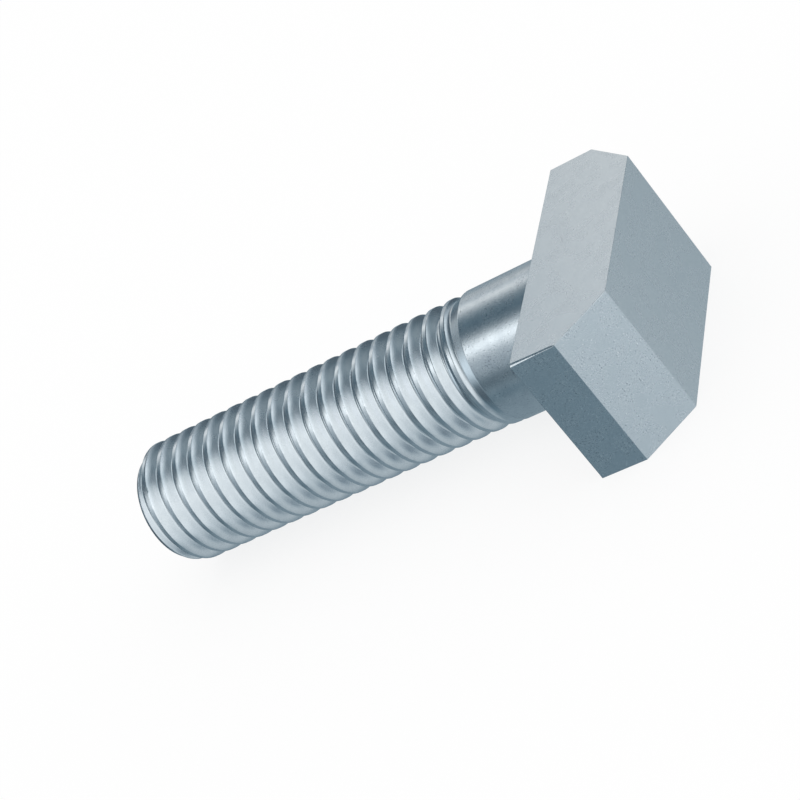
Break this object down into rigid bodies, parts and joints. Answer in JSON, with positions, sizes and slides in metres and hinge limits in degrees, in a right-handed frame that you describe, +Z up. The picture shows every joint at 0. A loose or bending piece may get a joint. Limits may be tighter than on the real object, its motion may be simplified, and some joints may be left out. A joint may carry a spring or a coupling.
{
  "type": "t-head bolt",
  "caption": "T-head bolt with a rectangular, corner-cut head, a short plain shank, and a right-hand metric thread that ends in a conical point.",
  "frame": {"origin": "on the shank's axis, in the plane of the head's bearing face", "axes": "+X along the shank from the head to the tip, +Y the long way of the head, +Z up as the bolt lies on one long side of its head"},
  "size_m": [0.0352, 0.0176, 0.0086],
  "materials": {
    "plated_steel": "zinc-plated steel: fine matte speckle on the forged head, smoother and brighter on the rolled thread and the shank"
  },
  "bodies": {
    "root": {"t_head_bolt": "plated_steel"}
  },
  "joints": []
}
